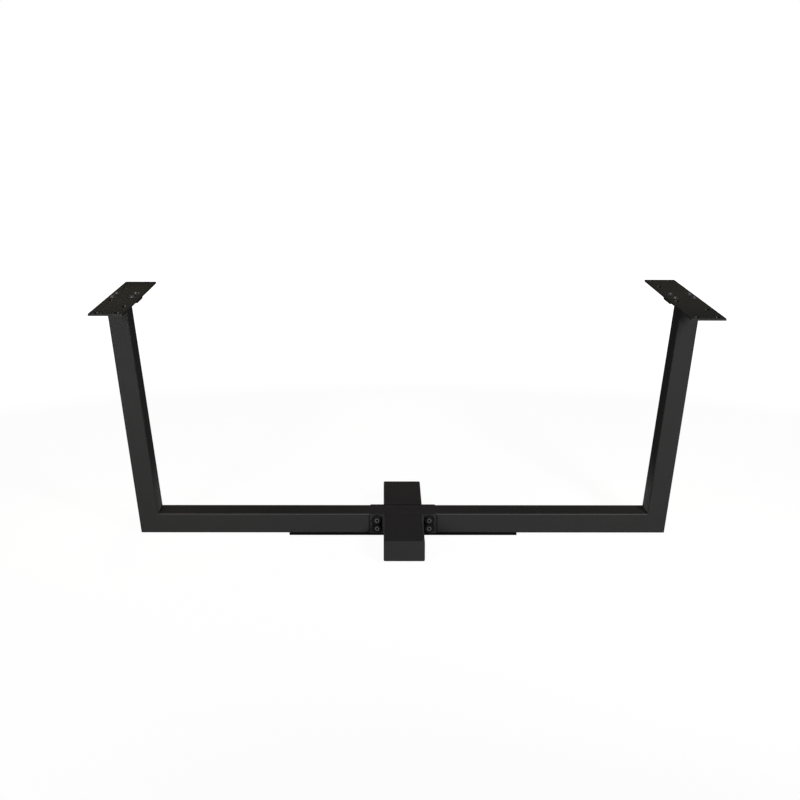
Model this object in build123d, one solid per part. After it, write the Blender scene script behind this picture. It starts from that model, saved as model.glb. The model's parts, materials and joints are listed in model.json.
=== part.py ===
from build123d import *
import math
import os

# Cross table base: an upright U frame of flat steel tube whose legs lean outwards, a short cross foot
# bolted to the front and back of its crossbar, and a long slotted plate on top of each leg.
# Millimetres and degrees. X runs along the table, Y from front to back, Z up from the floor.

# Whole base
crossbar_length = 1610.0     # over the lower corners of the frame
plate_top_height = 731.0     # floor to the faces that carry the table top
foot_depth = 790.0           # front to back over the cross foot
leg_slant = 7.4              # lean of each leg away from the vertical

# Flat tube of the frame and the foot
tube_width = 120.0
tube_height = 60.0
tube_wall = 3.0
corner_per_wall = 1.5        # outer corner radius of the tube, in walls

# Top plates
left_plate_length = 800.0
right_plate_length = 960.0
plate_thickness = 6.0
plate_corner = 0.8           # sharp, only deburred
plate_overhang = 1.0         # top plate past the leg's outer face
row_edge = 20.0              # row of slots to the plate's long edge
inner_row_gap = 16.5         # leg's inner face to the inner row of slots
slot_width = 11.0            # for M10
slot_length = 28.0           # along the plate, so that a wooden top can shrink and swell
end_slot_margin = 24.0       # outermost slots to the plate's short edge
left_lone_offset = 230.0     # lone diagonal slots from the left plate's middle
right_lone_offset = 282.0    # the same on the right plate
side_slot_offset = 88.0      # slots beside the screws, on the other diagonal

# End plates on the legs, and the corners of all the smaller plates and pads
small_corner = 3.0
end_plate_thickness = 6.0
end_plate_edge = 19.0        # inner row of screws to the end plate's edge
end_plate_ledge = 2.5        # end plate past the leg's front and back faces

# Screws, washers and nuts that hold the top plates
screw_diameter = 6.0
screw_clearance = 0.6
screw_head_diameter = 10.0
screw_head_height = 6.0
screw_socket_flats = 5.0
screw_socket_depth = 3.0
screw_wall_gap = 11.0        # inside of the leg's side wall to the screw's axis
screw_end = 2.0              # screw past the nut
washer_diameter = 24.0
washer_thickness = 2.0
washer_clearance = 0.4
screw_nut_flats = 10.0
screw_nut_height = 5.0

# Cross foot
flange_thickness = 6.0
flange_edge = 22.0           # bolt's axis to the flange's end
cap_thickness = 3.0
bolt_side_gap = 20.0         # side of the foot tube to the bolt's axis
bolt_diameter = 16.0
bolt_clearance = 1.0
bolt_head_height = 10.0
bolt_end = 1.0               # bolt past the nut
bolt_centre_diameter = 5.0   # centre hole in the bolt's end
bolt_centre_depth = 8.0
nut_flats = 24.0
nut_height = 13.0
nut_gap = 1.0                # between the flats of the upper and the lower nut
thread_clearance = 0.2
sleeve_wall = 1.5

# What stands on the floor
strip_length = 700.0
strip_thickness = 8.0
strip_setback = 2.0          # strip behind the crossbar's front and back faces
strip_edge = 1.0
pad_length = 50.0
pad_setback = 40.0           # pad behind the foot tube's closed end
pad_side_setback = 10.0      # pad inside the foot tube's sides

# Levels
bar_bottom = strip_thickness
bar_middle = bar_bottom + tube_height / 2
bar_top = bar_bottom + tube_height
plate_bottom = plate_top_height - plate_thickness
leg_top = plate_bottom - end_plate_thickness

# Places along the table, on its right half
lean = math.radians(leg_slant)
corner_x = crossbar_length / 2
leg_outer = corner_x + (leg_top - bar_bottom) * math.tan(lean)
leg_inner = leg_outer - tube_height / math.cos(lean)
plate_outer = leg_outer + plate_overhang
outer_row = plate_outer - row_edge
inner_row = leg_inner - inner_row_gap
plate_inner = inner_row - row_edge
plate_middle = (plate_outer + plate_inner) / 2
row_half = (outer_row - inner_row) / 2

# Places from front to back
flange_face = tube_width / 2 + flange_thickness
foot_end = foot_depth / 2
screw_y = tube_width / 2 - tube_wall - screw_wall_gap

# Bolts of the foot, two beside each side of the foot tube
bolt_x = tube_width / 2 + bolt_side_gap
bolt_z = (nut_flats + nut_gap) / 2
bolt_hole_radius = (bolt_diameter + bolt_clearance) / 2
bolt_places = [(x, bar_middle + z) for x in (-bolt_x, bolt_x) for z in (-bolt_z, bolt_z)]


def tube_section(plane):
    """Hollow section of the flat tube, its long side along the plane's x."""
    corner = corner_per_wall * tube_wall
    outside = RectangleRounded(tube_width, tube_height, corner)
    inside = RectangleRounded(tube_width - 2 * tube_wall, tube_height - 2 * tube_wall, corner - tube_wall)
    return plane * (outside - inside)


def mirrored(part):
    """The same piece on the other side of the table's middle."""
    return mirror(part, about=Plane.YZ)


def turned_back(part):
    """The same piece at the back instead of the front."""
    return mirror(part, about=Plane.XZ)


def hexagon(flats):
    return RegularPolygon(flats / 2, 6, major_radius=False)


def hex_blank(flats, height, chamfered_ends):
    """Hexagon from z = 0 up, its corners turned off to a cone at the named ends."""
    body = extrude(hexagon(flats), height)
    corner = flats / math.sqrt(3)
    drop = (corner - flats / 2) * math.tan(math.radians(30))
    low = drop if "low" in chamfered_ends else 0
    outline = [(0, 0), (flats / 2 if low else corner, 0), (corner, low)]
    outline += [(corner, height - drop), (flats / 2, height), (0, height)]
    cone = revolve(Plane.XZ * make_face(Polyline(*dict.fromkeys(outline), close=True)), Axis.Z)
    return body & cone


def along_y(places, y, part, towards_front):
    """Copies of a piece built along +Z, turned to point to the front or back, one at each (x, z)."""
    turn = 90 if towards_front else -90
    return [Pos(x, y, z) * Rot(turn, 0, 0) * part for x, z in places]


# Frame: the leg is an over-long tube, cut by the mitre plane below and level at the top.
corner_point = Vector(corner_x, 0, bar_bottom)
leg_direction = Vector(math.sin(lean), 0, math.cos(lean))
leg_inward = Vector(-math.cos(lean), 0, math.sin(lean))
mitre = Plane(origin=corner_point, x_dir=(0, 1, 0), z_dir=leg_direction - Vector(-1, 0, 0))
leg_start = Plane(corner_point + leg_inward * (tube_height / 2) - leg_direction * tube_height,
                  x_dir=(0, 1, 0), z_dir=leg_direction)


def leg_tube():
    run = (leg_top - bar_bottom) / math.cos(lean) + 2 * tube_height
    blank = extrude(tube_section(leg_start), run)
    mitred = split(blank, bisect_by=mitre, keep=Keep.TOP)
    return split(mitred, bisect_by=Plane((0, 0, leg_top)), keep=Keep.BOTTOM)


def crossbar_tube():
    start = Plane((-corner_x - tube_height, 0, bar_middle), x_dir=(0, 1, 0), z_dir=(1, 0, 0))
    bar = extrude(tube_section(start), 2 * (corner_x + tube_height))
    bar = split(bar, bisect_by=mitre, keep=Keep.BOTTOM)
    bar = mirrored(split(mirrored(bar), bisect_by=mitre, keep=Keep.BOTTOM))
    for x, z in bolt_places:
        bar -= Pos(x, 0, z) * Rot(90, 0, 0) * Cylinder(bolt_hole_radius, 2 * tube_width)
    return bar


# Top of each leg
def screw_places(middle):
    return [(middle + x, y) for x in (-row_half, row_half) for y in (-screw_y, screw_y)]


def with_screw_holes(plate, middle):
    radius = (screw_diameter + screw_clearance) / 2
    for x, y in screw_places(middle):
        plate -= Pos(x, y, plate_bottom) * Cylinder(radius, 4 * (plate_thickness + end_plate_thickness))
    return plate


def end_plate():
    inner = inner_row - end_plate_edge
    length = tube_width + 2 * end_plate_ledge
    outline = RectangleRounded(leg_outer - inner, length, small_corner)
    plate = Pos((leg_outer + inner) / 2, 0, leg_top) * extrude(outline, end_plate_thickness)
    return with_screw_holes(plate, plate_middle)


def top_plate(middle, length, lone_offset):
    outline = RectangleRounded(plate_outer - plate_inner, length, plate_corner)
    plate = Pos(middle, 0, plate_bottom) * extrude(outline, plate_thickness)
    end_offset = length / 2 - end_slot_margin
    slot = extrude(SlotOverall(slot_length, slot_width, rotation=90), plate_thickness)
    for y in (-end_offset, -side_slot_offset, lone_offset, end_offset):
        plate -= Pos(middle - row_half, y, plate_bottom) * slot
        plate -= Pos(middle + row_half, -y, plate_bottom) * slot
    return with_screw_holes(plate, middle)


def cap_screw():
    """Socket-head screw with its head's seat at z = 0 and its shank hanging down."""
    shank = washer_thickness + plate_thickness + end_plate_thickness + screw_nut_height + screw_end
    head, stem = screw_head_diameter / 2, screw_diameter / 2
    bevel = screw_diameter / 8
    outline = [(0, screw_head_height), (head - bevel, screw_head_height), (head, screw_head_height - bevel)]
    outline += [(head, 0), (stem, 0), (stem, bevel - shank), (stem - bevel, -shank), (0, -shank)]
    screw = revolve(Plane.XZ * make_face(Polyline(*outline, close=True)), Axis.Z)
    socket = extrude(hexagon(screw_socket_flats), screw_head_height)
    return screw - Pos(0, 0, screw_head_height - screw_socket_depth) * socket


def plate_screws(middle):
    seat = plate_top_height + washer_thickness
    return [Pos(x, y, seat) * cap_screw() for x, y in screw_places(middle)]


def plate_washers(middle):
    ring = Circle(washer_diameter / 2) - Circle((screw_diameter + washer_clearance) / 2)
    washer = extrude(ring, washer_thickness)
    return [Pos(x, y, plate_top_height) * washer for x, y in screw_places(middle)]


def weld_nuts(middle):
    bore = Cylinder(screw_diameter / 2 + thread_clearance / 2, 4 * screw_nut_height)
    nut = Rot(0, 0, 30) * extrude(hexagon(screw_nut_flats), -screw_nut_height) - bore
    return [Pos(x, y, leg_top) * nut for x, y in screw_places(middle)]


# Cross foot, front half
def foot_tube():
    start = Plane((0, -flange_face, bar_middle), x_dir=(1, 0, 0), z_dir=(0, -1, 0))
    return extrude(tube_section(start), foot_end - cap_thickness - flange_face)


def end_cap():
    outline = RectangleRounded(tube_width, tube_height, corner_per_wall * tube_wall)
    face = Plane((0, -foot_end, bar_middle), x_dir=(1, 0, 0), z_dir=(0, 1, 0))
    return extrude(face * outline, cap_thickness)


def flange():
    outline = RectangleRounded(2 * (bolt_x + flange_edge), tube_height, small_corner)
    face = Plane((0, -flange_face, bar_middle), x_dir=(1, 0, 0), z_dir=(0, 1, 0))
    plate = extrude(face * outline, flange_thickness)
    for x, z in bolt_places:
        plate -= Pos(x, -flange_face, z) * Rot(90, 0, 0) * Cylinder(bolt_hole_radius, 4 * flange_thickness)
    return plate


def cross_bolts():
    """Hexagon bolts with their heads on the rear flange and their ends past the front nuts."""
    length = 2 * flange_face + nut_height + bolt_end
    bevel = bolt_diameter / 10
    shank = chamfer(Cylinder(bolt_diameter / 2, length, align=(Align.CENTER, Align.CENTER, Align.MIN)).edges()
                    .sort_by(Axis.Z)[-1], bevel)
    centre = Pos(0, 0, length) * Cylinder(bolt_centre_diameter / 2, 2 * bolt_centre_depth)
    head = Rot(180, 0, 0) * hex_blank(nut_flats, bolt_head_height, ["high"])
    return along_y(bolt_places, flange_face, head + shank - centre, True)


def cross_nuts():
    bore = Cylinder((bolt_diameter + thread_clearance) / 2, 4 * nut_height)
    nut = hex_blank(nut_flats, nut_height, ["high"]) - bore
    return along_y(bolt_places, -flange_face, nut, True)


def spacer_sleeves():
    inside = tube_width - 2 * tube_wall
    ring = Circle(bolt_hole_radius + sleeve_wall) - Circle(bolt_hole_radius)
    return along_y(bolt_places, inside / 2, extrude(ring, inside), True)


# What stands on the floor
def floor_strip():
    outline = Rectangle(strip_length, tube_width - 2 * strip_setback)
    block = extrude(outline, strip_thickness)
    return chamfer(block.edges().group_by(Axis.Z)[0], strip_edge)


def glide_pad():
    outline = RectangleRounded(tube_width - 2 * pad_side_setback, pad_length, small_corner)
    return Pos(0, pad_setback + pad_length / 2 - foot_end, 0) * extrude(outline, strip_thickness)


right_leg, right_end = leg_tube(), end_plate()
front_foot, front_cap, front_flange_plate, front_pad = foot_tube(), end_cap(), flange(), glide_pad()

nodes = {
    "crossbar_tube": crossbar_tube(),
    "right_leg_tube": right_leg,
    "left_leg_tube": mirrored(right_leg),
    "right_end_plate": right_end,
    "left_end_plate": mirrored(right_end),
    "right_top_plate": top_plate(plate_middle, right_plate_length, right_lone_offset),
    "left_top_plate": top_plate(-plate_middle, left_plate_length, left_lone_offset),
    "right_plate_screws": plate_screws(plate_middle),
    "left_plate_screws": plate_screws(-plate_middle),
    "right_plate_washers": plate_washers(plate_middle),
    "left_plate_washers": plate_washers(-plate_middle),
    "right_weld_nuts": weld_nuts(plate_middle),
    "left_weld_nuts": weld_nuts(-plate_middle),
    "front_foot_tube": front_foot,
    "rear_foot_tube": turned_back(front_foot),
    "front_end_cap": front_cap,
    "rear_end_cap": turned_back(front_cap),
    "front_flange": front_flange_plate,
    "rear_flange": turned_back(front_flange_plate),
    "cross_bolts": cross_bolts(),
    "cross_nuts": cross_nuts(),
    "spacer_sleeves": spacer_sleeves(),
    "floor_strip": floor_strip(),
    "front_glide_pad": front_pad,
    "rear_glide_pad": turned_back(front_pad),
}

os.makedirs("parts", exist_ok=True)
for name, piece in nodes.items():
    export_step(Compound(children=piece) if isinstance(piece, list) else piece, f"parts/{name}.step")
    print(name)
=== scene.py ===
import bpy
import json
import math
from mathutils import Matrix, Vector


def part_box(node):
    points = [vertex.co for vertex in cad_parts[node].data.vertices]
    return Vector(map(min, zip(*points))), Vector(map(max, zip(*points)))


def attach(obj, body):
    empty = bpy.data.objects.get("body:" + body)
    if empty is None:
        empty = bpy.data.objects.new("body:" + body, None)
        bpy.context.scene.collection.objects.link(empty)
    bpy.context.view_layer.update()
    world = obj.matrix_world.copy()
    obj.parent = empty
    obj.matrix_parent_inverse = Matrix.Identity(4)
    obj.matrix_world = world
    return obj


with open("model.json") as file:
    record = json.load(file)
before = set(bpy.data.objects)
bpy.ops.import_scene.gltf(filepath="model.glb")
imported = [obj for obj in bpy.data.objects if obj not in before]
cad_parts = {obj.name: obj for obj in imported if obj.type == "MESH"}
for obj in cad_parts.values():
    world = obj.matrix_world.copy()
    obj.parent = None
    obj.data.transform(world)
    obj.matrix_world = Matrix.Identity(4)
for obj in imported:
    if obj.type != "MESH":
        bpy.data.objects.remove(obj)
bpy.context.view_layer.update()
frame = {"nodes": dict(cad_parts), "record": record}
scene = bpy.context.scene
scene.view_settings.view_transform = "Standard"
nodes = frame["nodes"]
print("frame loaded,", len(nodes), "nodes")


# camera, settled against the edges of the tubes and plates in the picture
cameraSet = {
    "place": (-0.061009, -5.654562, 1.427516),
    "turn": -0.516,  # degrees about the vertical
    "tip": 10.173,  # degrees down
    "roll": 0.156,
    "lens": 84.102,  # mm, on the sensor below
    "sensor": 36,
    "farClip": 100,
}


def addCamera():
    bpy.ops.object.camera_add()
    cam = bpy.context.object
    cam.name = "frontCamera"
    cam.data.lens = cameraSet["lens"]
    cam.data.sensor_width = cameraSet["sensor"]
    cam.data.clip_end = cameraSet["farClip"]
    aim = Matrix.Rotation(math.radians(cameraSet["turn"]), 4, "Z")
    aim = aim @ Matrix.Rotation(math.radians(90 - cameraSet["tip"]), 4, "X")
    aim = aim @ Matrix.Rotation(math.radians(cameraSet["roll"]), 4, "Z")
    cam.matrix_world = Matrix.Translation(cameraSet["place"]) @ aim
    scene.camera = cam


bpy.ops.object.select_all(action="DESELECT")
addCamera()
print("camera set")


# node helpers
def startMaterial(name):
    mat = bpy.data.materials.new(name)
    mat.use_nodes = True
    return mat, mat.node_tree, mat.node_tree.nodes["Principled BSDF"]


def addNode(tree, kind, values=None, **settings):
    node = tree.nodes.new(kind)
    for key, value in settings.items():
        setattr(node, key, value)
    for key, value in (values or {}).items():
        node.inputs[key].default_value = value
    return node


def mathOn(tree, operation, source, *values):
    node = addNode(tree, "ShaderNodeMath", operation=operation)
    tree.links.new(source, node.inputs[0])
    for index, value in enumerate(values, 1):
        if isinstance(value, (int, float)):
            node.inputs[index].default_value = value
        else:
            tree.links.new(value, node.inputs[index])
    return node.outputs[0]


def product(tree, share, *others):
    for other in others:
        share = mathOn(tree, "MULTIPLY", share, other)
    return share


def mapped(tree, source, start, stop, low=0.0, high=1.0):
    ramp = addNode(tree, "ShaderNodeMapRange", {"From Min": start, "From Max": stop, "To Min": low, "To Max": high})
    tree.links.new(source, ramp.inputs["Value"])
    return ramp.outputs["Result"]


def noiseOn(tree, scale, detail, rough):
    coords = addNode(tree, "ShaderNodeTexCoord")
    noise = addNode(tree, "ShaderNodeTexNoise", {"Scale": scale, "Detail": detail, "Roughness": rough})
    tree.links.new(coords.outputs["Object"], noise.inputs["Vector"])
    return noise.outputs["Fac"]


noiseReach = (0.3, 0.7)  # most of a noise lies in here


def spread(tree, noise, low, high):  # noise to a small range of a plain number
    return mapped(tree, noise, *noiseReach, low, high)


def between(tree, share, first, second):  # two colours, each fixed or from another node
    mix = addNode(tree, "ShaderNodeMix", data_type="RGBA")
    tree.links.new(share, mix.inputs[0])
    for index, tint in ((6, first), (7, second)):
        if isinstance(tint, tuple):
            mix.inputs[index].default_value = tint + (1,)
        else:
            tree.links.new(tint, mix.inputs[index])
    return mix.outputs[2]


def addBump(tree, shader, height, strength, distance):
    bump = addNode(tree, "ShaderNodeBump", {"Strength": strength, "Distance": distance})
    tree.links.new(height, bump.inputs["Height"])
    tree.links.new(bump.outputs["Normal"], shader.inputs["Normal"])


def facing(tree):  # the way a surface faces, along x, y and z
    geometry = addNode(tree, "ShaderNodeNewGeometry")
    turn = addNode(tree, "ShaderNodeSeparateXYZ")
    tree.links.new(geometry.outputs["Normal"], turn.inputs[0])
    return turn


def placeParts(tree, centre=(0, 0, 0)):  # distance from a point along x, y and z
    coords = addNode(tree, "ShaderNodeTexCoord")
    shift = addNode(tree, "ShaderNodeVectorMath", operation="SUBTRACT")
    shift.inputs[1].default_value = centre
    size = addNode(tree, "ShaderNodeVectorMath", operation="ABSOLUTE")
    parts = addNode(tree, "ShaderNodeSeparateXYZ")
    tree.links.new(coords.outputs["Object"], shift.inputs[0])
    tree.links.new(shift.outputs["Vector"], size.inputs[0])
    tree.links.new(size.outputs["Vector"], parts.inputs[0])
    return parts


# black powder coat: fine pebbled skin, very slightly uneven in tone, smoother where it thins over an edge,
# with a painted highlight on edges that face up; painted shade deep in the corners and along the joints where the foot
# meets the crossbar
coatLook = {
    "dark": (0.0285, 0.0282, 0.0278),
    "light": (0.0315, 0.0312, 0.0308),
    # tones of the painted highlight on rounded edges that face up, on the frame and on the foot, where it stays plain
    "edge": (0.085, 0.0843, 0.0836),
    "footEdge": (0.03, 0.0297, 0.0293),
    # painted highlight on the plates' edges and on the slot walls that face outwards
    "slotHighlightTone": (0.12, 0.118, 0.114),
    "edgeRound": (0.98, 0.8),  # largest part of the normal, from a flat face to the middle of an edge
    "edgeUp": (0.2, 0.5),  # upward part of the normal from which an edge gets the painted highlight
    # painted shade in corners, from ambient occlusion
    "creviceShade": (0.004, 0.004, 0.004),
    "creviceReach": 0.008,
    "creviceOpen": (0.92, 0.5),  # openness from which a corner darkens, and at which it is fully dark
    "creviceSamples": 8,
    # painted shade on the flanges' top edges between the foot and the crossbar
    "joint": 0.063,  # middle of the flanges' thickness, front and back
    "jointHalf": 0.0032,
    "jointDepth": 0.0008,  # below the top of the foot
    "jointShade": 0.7,
    "slotMargin": 0.004,  # a plate's own edges, which are no slot walls
    "slotUpright": 0.5,
    "slotShade": (-0.2, 0.1),  # how far a slot's wall faces outwards, from painted shade to plain
    "slotHighlight": (0.0, 0.25),  # and from plain to the painted highlight
    "roughness": (0.84, 0.92),
    "edgeRoughness": 0.34,
    "specular": 0.003,
    "cloud": (14, 3, 0.5),  # scale, detail and roughness of the uneven tone
    "pebble": (620, 2, 0.6),  # bumps per metre, detail and roughness
    "pebbleStrength": 0.35,
    "pebbleDepth": 0.00012,
}


def edgeHighlightShare(tree):  # painted highlight: 0 on flat faces, 1 in the middle of a rounded edge that faces up
    turn = facing(tree)
    x, y, z = (mathOn(tree, "ABSOLUTE", turn.outputs[axis]) for axis in "XYZ")
    largest = mathOn(tree, "MAXIMUM", mathOn(tree, "MAXIMUM", x, y), z)
    return product(tree, mapped(tree, largest, *coatLook["edgeRound"]),
                   mapped(tree, turn.outputs["Z"], *coatLook["edgeUp"]))


def creviceShadeShare(tree):  # painted shade from ambient occlusion: 0 in the open, 1 deep in a corner
    corner = addNode(tree, "ShaderNodeAmbientOcclusion", {"Distance": coatLook["creviceReach"]},
                     samples=coatLook["creviceSamples"])
    return mapped(tree, corner.outputs["AO"], *coatLook["creviceOpen"])


def jointShadeShare(tree):  # painted shade on the thin top edges of the flanges between the foot and the crossbar
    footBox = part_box("front_foot_tube")
    parts = placeParts(tree)
    across = mathOn(tree, "COMPARE", parts.outputs["Y"], coatLook["joint"], coatLook["jointHalf"])
    along = mathOn(tree, "LESS_THAN", parts.outputs["X"], footBox[1][0])
    high = mathOn(tree, "GREATER_THAN", parts.outputs["Z"], footBox[1][2] - coatLook["jointDepth"])
    return product(tree, across, along, high, coatLook["jointShade"])


def slotWalls(tree, side):  # walls of the holes in a top plate, and how far they face outwards
    low, high = (Vector(corner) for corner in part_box(side + "_top_plate"))
    half = (high - low) / 2
    parts = placeParts(tree, (low + high) / 2)
    turn = facing(tree)
    upright = mathOn(tree, "LESS_THAN", mathOn(tree, "ABSOLUTE", turn.outputs["Z"]), coatLook["slotUpright"])
    across = mathOn(tree, "LESS_THAN", parts.outputs["X"], half.x - coatLook["slotMargin"])
    along = mathOn(tree, "LESS_THAN", parts.outputs["Y"], half.y - coatLook["slotMargin"])
    outward = mathOn(tree, "MULTIPLY", turn.outputs["X"], -1 if side == "left" else 1)
    return product(tree, upright, across, along), outward


def slotShade(tree, side):  # painted shade on the outer wall of each slot
    wall, outward = slotWalls(tree, side)
    return product(tree, wall, mapped(tree, outward, *coatLook["slotShade"], 1.0, 0.0))


def slotHighlight(tree, side):  # painted highlight on the inner wall of each slot
    wall, outward = slotWalls(tree, side)
    return product(tree, wall, mapped(tree, outward, *coatLook["slotHighlight"]))


def makeCoat(name, edgeHighlightTone, shadeShare, highlightShare=None):
    mat, tree, shader = startMaterial(name)
    cloud = noiseOn(tree, *coatLook["cloud"])
    pebble = noiseOn(tree, *coatLook["pebble"])
    edge = edgeHighlightShare(tree)
    creviceShade = creviceShadeShare(tree)
    if highlightShare:
        pale = highlightShare(tree)
        edge = mathOn(tree, "MAXIMUM", edge, pale)
        creviceShade = product(tree, creviceShade, mathOn(tree, "MULTIPLY_ADD", pale, -1, 1))
    skin = between(tree, cloud, coatLook["dark"], coatLook["light"])
    # painted highlight on edges that face up, and on the slot walls that face outwards
    skin = between(tree, edge, skin, coatLook[edgeHighlightTone])
    # painted shade in corners, along the flanges' top edges and on the slot walls that face inwards
    skin = between(tree, mathOn(tree, "MAXIMUM", creviceShade, shadeShare(tree)), skin, coatLook["creviceShade"])
    tree.links.new(skin, shader.inputs["Base Color"])
    rough = addNode(tree, "ShaderNodeMix", {3: coatLook["edgeRoughness"]}, data_type="FLOAT")
    tree.links.new(edge, rough.inputs[0])
    tree.links.new(spread(tree, cloud, *coatLook["roughness"]), rough.inputs[2])
    tree.links.new(rough.outputs[0], shader.inputs["Roughness"])
    shader.inputs["Specular IOR Level"].default_value = coatLook["specular"]
    addBump(tree, shader, pebble, coatLook["pebbleStrength"], coatLook["pebbleDepth"])
    return mat


# blackened nuts and washers
oxideLook = {
    "dark": (0.008, 0.008, 0.0082),
    "light": (0.014, 0.014, 0.0143),
    "roughness": (0.55, 0.7),
    "specular": 0.03,
    "metallic": 0.0,
    "grain": (160, 4, 0.6),  # scale, detail and roughness of the stains
    "bump": (0.15, 0.0001),
}

# screws and bolts: dull dark steel
steelLook = {
    "dark": (0.025, 0.025, 0.0255),
    "light": (0.075, 0.075, 0.0765),
    "roughness": (0.4, 0.55),
    "specular": 0.5,
    "metallic": 0.9,
    "grain": (240, 4, 0.6),
    "bump": (0.12, 0.0001),
}

# rubber strip and pads
rubberLook = {
    "dark": (0.0025, 0.0025, 0.0025),
    "light": (0.0045, 0.0045, 0.0045),
    "roughness": (0.75, 0.9),
    "specular": 0.02,
    "metallic": 0.0,
    "grain": (900, 3, 0.6),
    "bump": (0.3, 0.0001),
}


def makeFinish(name, look):
    mat, tree, shader = startMaterial(name)
    grain = noiseOn(tree, *look["grain"])
    tree.links.new(between(tree, grain, look["dark"], look["light"]), shader.inputs["Base Color"])
    tree.links.new(spread(tree, grain, *look["roughness"]), shader.inputs["Roughness"])
    shader.inputs["Specular IOR Level"].default_value = look["specular"]
    shader.inputs["Metallic"].default_value = look["metallic"]
    addBump(tree, shader, grain, *look["bump"])
    return mat


# the foot's bolts: the same steel; on the threaded ends at the front a bright turned ring round painted shade in the
# hole
boltLook = {
    "axis": 0.08,  # bolts from the middle, along the crossbar
    "height": 0.038,
    "rise": 0.0125,  # bolts above and below that height
    # painted shade in the hole at the middle of each bolt end
    "centre": (0.004, 0.004, 0.004),
    "ring": (0.068, 0.068, 0.066),
    "thread": (0.012, 0.012, 0.012),
    "radii": (0.0034, 0.0042, 0.0066, 0.0074),  # centre, ring from, ring to, thread from
    "rampScale": 100,  # ramp runs over the first 10 mm
}


def makeBoltSteel():
    mat = finishes["bolt_steel"].copy()
    mat.name = "dullSteelBolts"
    tree = mat.node_tree
    shader = tree.nodes["Principled BSDF"]
    plain = shader.inputs["Base Color"].links[0].from_socket
    parts = placeParts(tree, (0, 0, boltLook["height"]))
    along = mathOn(tree, "SUBTRACT", parts.outputs["X"], boltLook["axis"])
    up = mathOn(tree, "SUBTRACT", parts.outputs["Z"], boltLook["rise"])
    radius = mathOn(tree, "SQRT", mathOn(tree, "ADD", product(tree, along, along), product(tree, up, up)))
    turned = addNode(tree, "ShaderNodeValToRGB")
    stops = turned.color_ramp.elements
    tints = ("centre", "ring", "ring", "thread")
    while len(stops) < len(tints):
        stops.new(0.5)
    for stop, place, tint in zip(stops, boltLook["radii"], tints):
        stop.position = place * boltLook["rampScale"]
        stop.color = boltLook[tint] + (1,)
    tree.links.new(product(tree, radius, boltLook["rampScale"]), turned.inputs[0])
    coords = addNode(tree, "ShaderNodeTexCoord")
    place = addNode(tree, "ShaderNodeSeparateXYZ")
    tree.links.new(coords.outputs["Object"], place.inputs[0])
    front = mathOn(tree, "LESS_THAN", place.outputs["Y"], 0)
    tree.links.new(between(tree, front, plain, turned.outputs["Color"]), shader.inputs["Base Color"])
    return mat


finishes = {
    "black_powder_coat": makeCoat("blackPowderCoat", "edge", jointShadeShare),
    "black_fasteners": makeFinish("blackOxide", oxideLook),
    "bolt_steel": makeFinish("dullSteel", steelLook),
    "black_rubber": makeFinish("blackRubber", rubberLook),
}
for part in frame["record"]["subparts"]:
    slots = nodes[part["node"]].data.materials
    slots.clear()
    slots.append(finishes[part["material_slot"]])
nodes["cross_bolts"].data.materials[0] = makeBoltSteel()
footCoat = makeCoat("footPowderCoat", "footEdge", jointShadeShare)
for end in ("front", "rear"):
    nodes[end + "_foot_tube"].data.materials[0] = footCoat
for side in ("left", "right"):
    nodes[side + "_top_plate"].data.materials[0] = makeCoat(
        side + "PlateCoat", "slotHighlightTone", lambda tree: slotShade(tree, side), lambda tree: slotHighlight(tree, side))
print("finishes on", len(nodes), "nodes")


# fillet welds: small ripples fused into one bead, which fills the corner between two pieces;
# the coat lies thinner and smoother over the ripples, and is painted paler there as a highlight
beadLook = {
    "footRadius": 0.0045,
    "legRadius": 0.0045,
    "ledgeRadius": 0.0024,  # on the narrow ledge in front of and behind each leg
    "footBottom": 0.004,  # how far the beads stop short of the foot's bottom and top
    "footTop": 0.002,
    "legThickness": 0.0605,  # level cut through the leaning leg
    "legCorner": (0.006, 0.008),  # how far they stop short of the leg's corners, across and along the plate
    "segments": 16,
    "rings": 10,
    "pitch": 0.55,  # ripple spacing, in radii
    "squash": 0.7,  # ripple thickness against its radius
    "voxel": 0.17,  # fineness of the fused bead, in radii
    # paler than the coat: a painted highlight on the ripples
    "dark": (0.03, 0.0297, 0.0293),
    "light": (0.055, 0.0545, 0.054),
    "roughness": (0.35, 0.5),
    "specular": 0.06,
    "metallic": 0.0,
    "grain": (420, 3, 0.5),
    "bump": (0.3, 0.0003),
}
beadHighlightCoat = makeFinish("weldBeadHighlightCoat", beadLook)


def modelBead(length, radius):  # along z from the origin
    pitch = beadLook["pitch"] * radius
    bpy.ops.object.select_all(action="DESELECT")
    bpy.ops.mesh.primitive_uv_sphere_add(segments=beadLook["segments"], ring_count=beadLook["rings"], radius=radius)
    bead = bpy.context.object
    bpy.ops.object.mode_set(mode="EDIT")
    bpy.ops.mesh.select_all(action="SELECT")
    bpy.ops.transform.resize(value=(1, 1, beadLook["squash"]))
    bpy.ops.object.mode_set(mode="OBJECT")
    ripples = bead.modifiers.new("ripples", "ARRAY")
    ripples.use_relative_offset = False
    ripples.use_constant_offset = True
    ripples.constant_offset_displace = (0, 0, pitch)
    ripples.count = max(2, round(length / pitch))
    fuse = bead.modifiers.new("fuse", "REMESH")
    fuse.mode = "VOXEL"
    fuse.voxel_size = beadLook["voxel"] * radius
    fuse.use_smooth_shade = True
    for step in ("ripples", "fuse"):
        bpy.ops.object.modifier_apply(modifier=step)
    bead.data.materials.append(beadHighlightCoat)
    return bead


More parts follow.
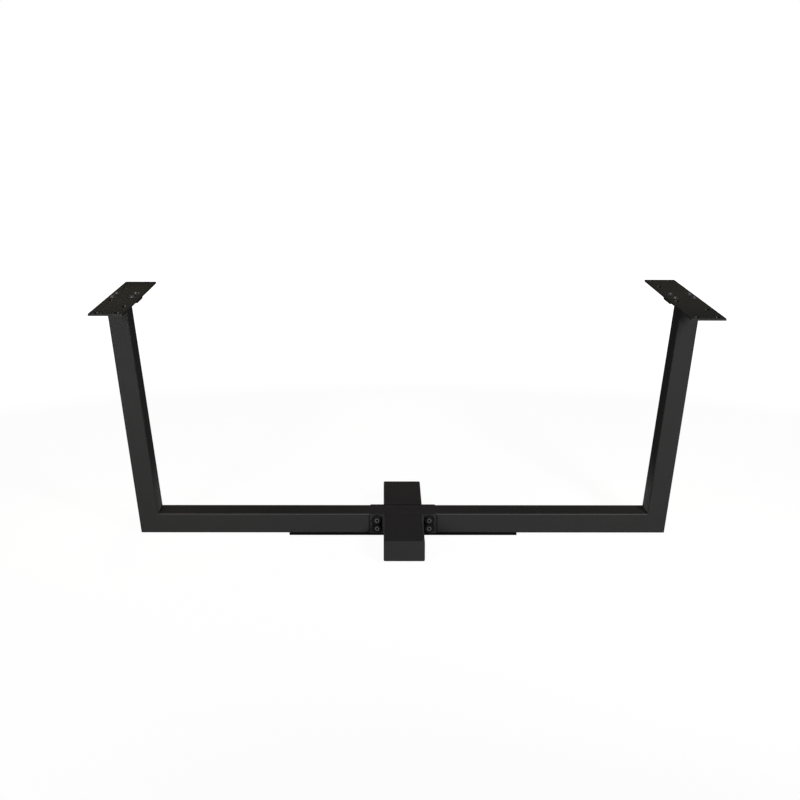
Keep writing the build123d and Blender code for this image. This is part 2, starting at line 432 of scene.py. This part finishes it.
def copyBead(model, name, start, end):
    bpy.ops.object.select_all(action="DESELECT")
    model.select_set(True)
    bpy.context.view_layer.objects.active = model
    bpy.ops.object.duplicate()
    bead = bpy.context.object
    bead.name = name
    run = Vector(end) - Vector(start)
    bead.matrix_world = Matrix.Translation(start) @ run.to_track_quat("Z", "Y").to_matrix().to_4x4()
    bpy.ops.object.transform_apply(location=True, rotation=True, scale=True)
    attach(bead, "root")


def weldFoot():  # upright beads in the corners between the foot tubes and their flanges
    bottom, top = (corner[2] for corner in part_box("front_foot_tube"))
    bottom, top = bottom + beadLook["footBottom"], top - beadLook["footTop"]
    model = modelBead(top - bottom, beadLook["footRadius"])
    for end in ("front", "rear"):
        low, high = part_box(end + "_foot_tube")
        face = high[1] if end == "front" else low[1]
        for side, x in (("left", low[0]), ("right", high[0])):
            copyBead(model, f"{end}_{side}_foot_bead", (x, face, bottom), (x, face, top))
    bpy.data.objects.remove(model)


def weldLegs():  # beads under the end plates, on the inner, front and back faces of the legs
    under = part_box("left_end_plate")[0][2]
    low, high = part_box("right_leg_tube")
    outer = high[0]
    inner = outer - beadLook["legThickness"]
    front, back = low[1], high[1]
    across, along = beadLook["legCorner"]
    innerModel = modelBead(back - front - 2 * along, beadLook["legRadius"])
    ledgeModel = modelBead(outer - inner - 2 * across, beadLook["ledgeRadius"])
    for side, way in (("left", -1), ("right", 1)):
        copyBead(innerModel, side + "_leg_inner_bead",
                 (way * inner, front + along, under), (way * inner, back - along, under))
        for end, y in (("front", front), ("back", back)):
            copyBead(ledgeModel, f"{side}_leg_{end}_bead",
                     (way * (inner + across), y, under), (way * (outer - across), y, under))
    for model in (innerModel, ledgeModel):
        bpy.data.objects.remove(model)


weldFoot()
weldLegs()
print("weld beads added")


# pale floor and white surroundings
stageLook = {
    "floorSize": 40,
    "paint": (0.5, 0.5, 0.5),
    "shadowShare": 0.2,  # how much of the floor's own light and shade shows near the base
    "shadowReach": (2.5, 5.0),  # and over which distance that fades out
    "glow": 1.2,
    "ambient": 0.02,
    "surround": 1.0,
}


def seenDirectly(tree):  # camera, mirror-like and see-through rays
    path = addNode(tree, "ShaderNodeLightPath")
    seen = mathOn(tree, "MAXIMUM", path.outputs["Is Camera Ray"], path.outputs["Is Glossy Ray"])
    return mathOn(tree, "MAXIMUM", seen, path.outputs["Is Transmission Ray"])


def mixShaders(tree, share, first, second, out):
    mix = addNode(tree, "ShaderNodeMixShader")
    tree.links.new(share, mix.inputs[0])
    tree.links.new(first.outputs[0], mix.inputs[1])
    tree.links.new(second.outputs[0], mix.inputs[2])
    tree.links.new(mix.outputs[0], out.inputs["Surface"])


def addFloor():
    bpy.ops.mesh.primitive_plane_add(size=stageLook["floorSize"])
    floor = bpy.context.object
    floor.name = "paleFloor"
    mat = bpy.data.materials.new("paleFloor")
    mat.use_nodes = True
    tree = mat.node_tree
    tree.nodes.clear()
    out = addNode(tree, "ShaderNodeOutputMaterial")
    paint = addNode(tree, "ShaderNodeBsdfDiffuse", {"Color": stageLook["paint"] + (1,)})
    glow = addNode(tree, "ShaderNodeEmission", {"Strength": stageLook["glow"]})
    coords = addNode(tree, "ShaderNodeTexCoord")
    away = addNode(tree, "ShaderNodeVectorMath", operation="LENGTH")
    tree.links.new(coords.outputs["Object"], away.inputs[0])
    fade = mapped(tree, away.outputs["Value"], *stageLook["shadowReach"], 1 - stageLook["shadowShare"], 1.0)
    mixShaders(tree, product(tree, seenDirectly(tree), fade), paint, glow, out)
    floor.data.materials.append(mat)


def lightWorld():
    world = bpy.data.worlds.new("studioWorld")
    scene.world = world
    world.use_nodes = True
    tree = world.node_tree
    tree.nodes.clear()
    out = addNode(tree, "ShaderNodeOutputWorld")
    white = (1, 1, 1, 1)
    ambient = addNode(tree, "ShaderNodeBackground", {"Color": white, "Strength": stageLook["ambient"]})
    surround = addNode(tree, "ShaderNodeBackground", {"Color": white, "Strength": stageLook["surround"]})
    mixShaders(tree, seenDirectly(tree), ambient, surround, out)


addFloor()
lightWorld()


# soft boxes and a spot in front, small warm lamps over the plates, and low ones behind for the inner faces and the foot
frontTint = (0.99, 1.0, 1.01)
warmTint = (1.0, 0.87, 0.5)
backTint = (1.0, 0.96, 0.9)
footTint = (1.0, 0.7, 0.7)
softBoxes = {
    "leftBox": {
        "place": (-1.9, -4.6, 1.2), "aim": (-0.75, 0, 0.5), "size": (0.8, 1.0),
        "spread": 48, "watts": 9.6, "tint": frontTint,
    },
    "rightBox": {
        "place": (1.75, -3.6, 1.7), "aim": (0.78, 0, 0.5), "size": (0.55, 0.7),
        "spread": 64, "watts": 17.3, "tint": frontTint,
    },
    "lowBox": {
        "place": (0, -5, 0.7), "aim": (0, 0, 0.3), "size": (1.6, 0.7),
        "spread": 180, "watts": 14, "tint": frontTint,
    },
    "leftLamp": {
        "place": (-1.5, -1.6, 1.5), "aim": (0, 0, 0.45), "size": (0.5, 0.7),
        "spread": 180, "watts": 3.5, "tint": backTint,
    },
    "leftSpot": {
        "place": (-1.5, -2.4, 1.15), "aim": (-0.87, 0, 0.68), "size": (0.4, 0.4),
        "spread": 28, "watts": 0.42, "tint": frontTint,
    },
    "leftTop": {
        "place": (-0.88, 0, 1.6), "aim": (-0.88, 0.01, 0.73), "size": (0.2, 0.8),
        "spread": 40, "watts": 0.4, "tint": warmTint,
    },
    "rightTop": {
        "place": (0.88, 0.3, 1.6), "aim": (0.88, 0.2, 0.73), "size": (0.2, 0.9),
        "spread": 40, "watts": 0.3, "tint": warmTint,
    },
    "leftBack": {
        "place": (-2.5, 3.4, 0.12), "aim": (-0.8, 0, 0.3), "size": (0.8, 0.2),
        "spread": 45, "watts": 2.6, "tint": backTint,
    },
    "rightBack": {
        "place": (2.5, 3.4, 0.12), "aim": (0.8, 0, 0.3), "size": (0.8, 0.2),
        "spread": 45, "watts": 2.6, "tint": backTint,
    },
    "middleBack": {
        "place": (0, 2.6, 0.12), "aim": (0, 0.3, 0.04), "size": (0.6, 0.2),
        "spread": 30, "watts": 0.8, "tint": footTint,
    },
    "leftLow": {
        "place": (0, 1.4, 0.15), "aim": (-0.79, 0, 0.09), "size": (0.1, 0.1),
        "spread": 9, "watts": 0.09, "tint": frontTint,
    },
    "rightLow": {
        "place": (0, 1.4, 0.15), "aim": (0.79, 0, 0.09), "size": (0.1, 0.1),
        "spread": 9, "watts": 0.105, "tint": frontTint,
    },
}


def addSoftBox(name, box):
    bpy.ops.object.light_add(type="AREA")
    lamp = bpy.context.object
    lamp.name = name
    lamp.data.shape = "RECTANGLE"
    lamp.data.size, lamp.data.size_y = box["size"]
    lamp.data.energy = box["watts"]
    lamp.data.color = box["tint"]
    lamp.data.spread = math.radians(box["spread"])
    aim = Vector(box["aim"]) - Vector(box["place"])
    lamp.matrix_world = Matrix.Translation(box["place"]) @ aim.to_track_quat("-Z", "Y").to_matrix().to_4x4()


for boxName, box in softBoxes.items():
    addSoftBox(boxName, box)
print("stage and lights set")
